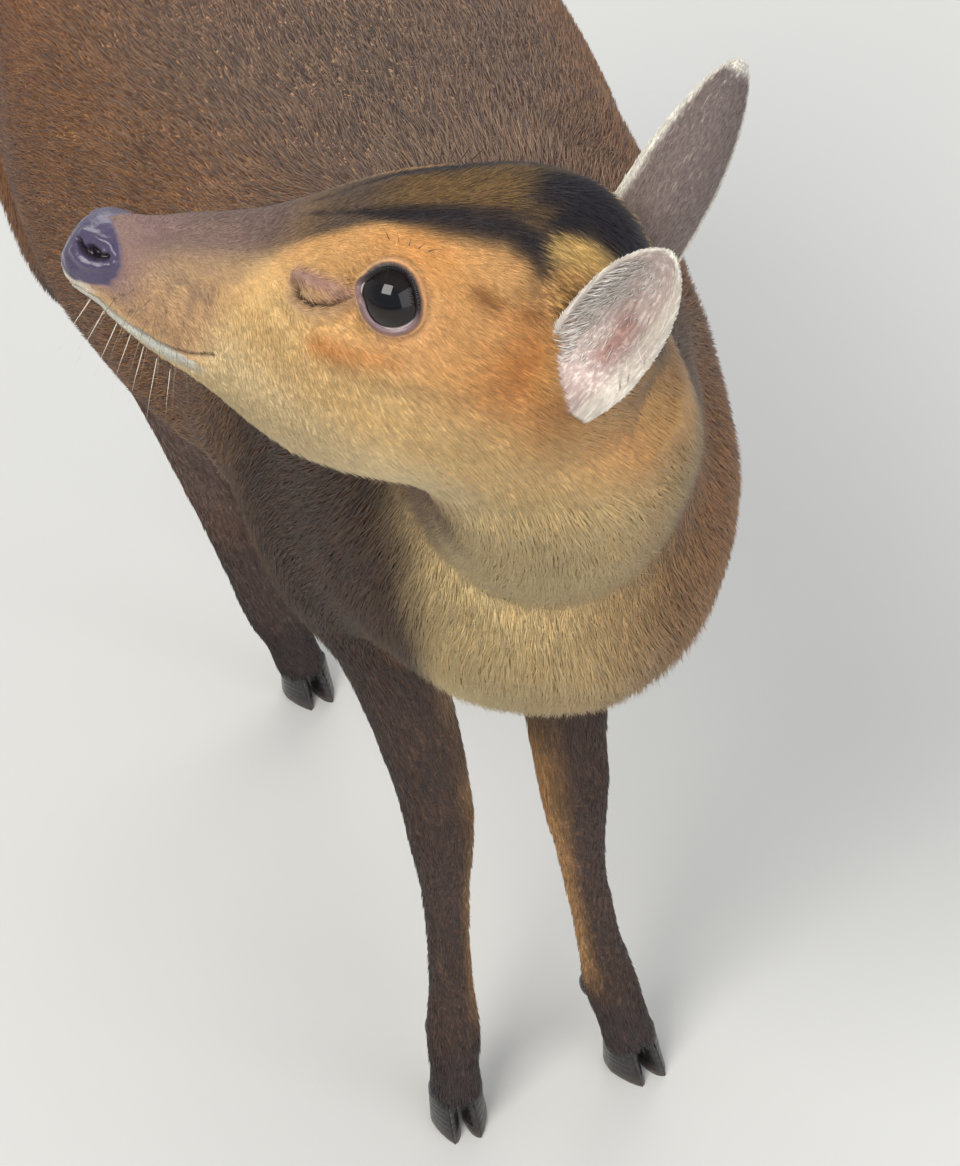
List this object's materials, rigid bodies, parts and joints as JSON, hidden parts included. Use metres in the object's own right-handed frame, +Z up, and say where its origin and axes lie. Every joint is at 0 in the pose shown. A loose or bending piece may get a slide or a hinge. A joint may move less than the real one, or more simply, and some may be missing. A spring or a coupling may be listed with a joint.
{
  "type": "muntjac model",
  "caption": "Still, life-size model of a muntjac doe standing on four legs, head raised and turned far to its right, short brown coat, black brow stripes, cream throat.",
  "frame": {"origin": "on the floor, under the middle of the bounding box", "axes": "+Z up; the animal faces -Y and its left side is +X, so its length runs along Y"},
  "size_m": [0.2618, 0.7122, 0.568],
  "materials": {
    "coat": "short lying fur, brown with tan tips, cream throat, black brow stripes",
    "eye": "wet, near black",
    "nose": "moist grey-blue skin, finely pebbled",
    "hoof": "polished black horn"
  },
  "bodies": {
    "root": {"trunk": "coat", "neck": "coat", "head": "coat", "tail": "coat", "ear_left": "coat", "ear_right": "coat", "eye_left": "eye", "eye_right": "eye", "leg_front_right": "coat", "leg_front_left": "coat", "leg_hind_right": "coat", "leg_hind_left": "coat", "hoof_front_right_a": "hoof", "dewclaw_front_right_a": "hoof", "hoof_front_right_b": "hoof", "dewclaw_front_right_b": "hoof", "hoof_front_left_a": "hoof", "dewclaw_front_left_a": "hoof", "hoof_front_left_b": "hoof", "dewclaw_front_left_b": "hoof", "hoof_hind_right_a": "hoof", "dewclaw_hind_right_a": "hoof", "hoof_hind_right_b": "hoof", "dewclaw_hind_right_b": "hoof", "hoof_hind_left_a": "hoof", "dewclaw_hind_left_a": "hoof", "hoof_hind_left_b": "hoof", "dewclaw_hind_left_b": "hoof"}
  },
  "joints": []
}
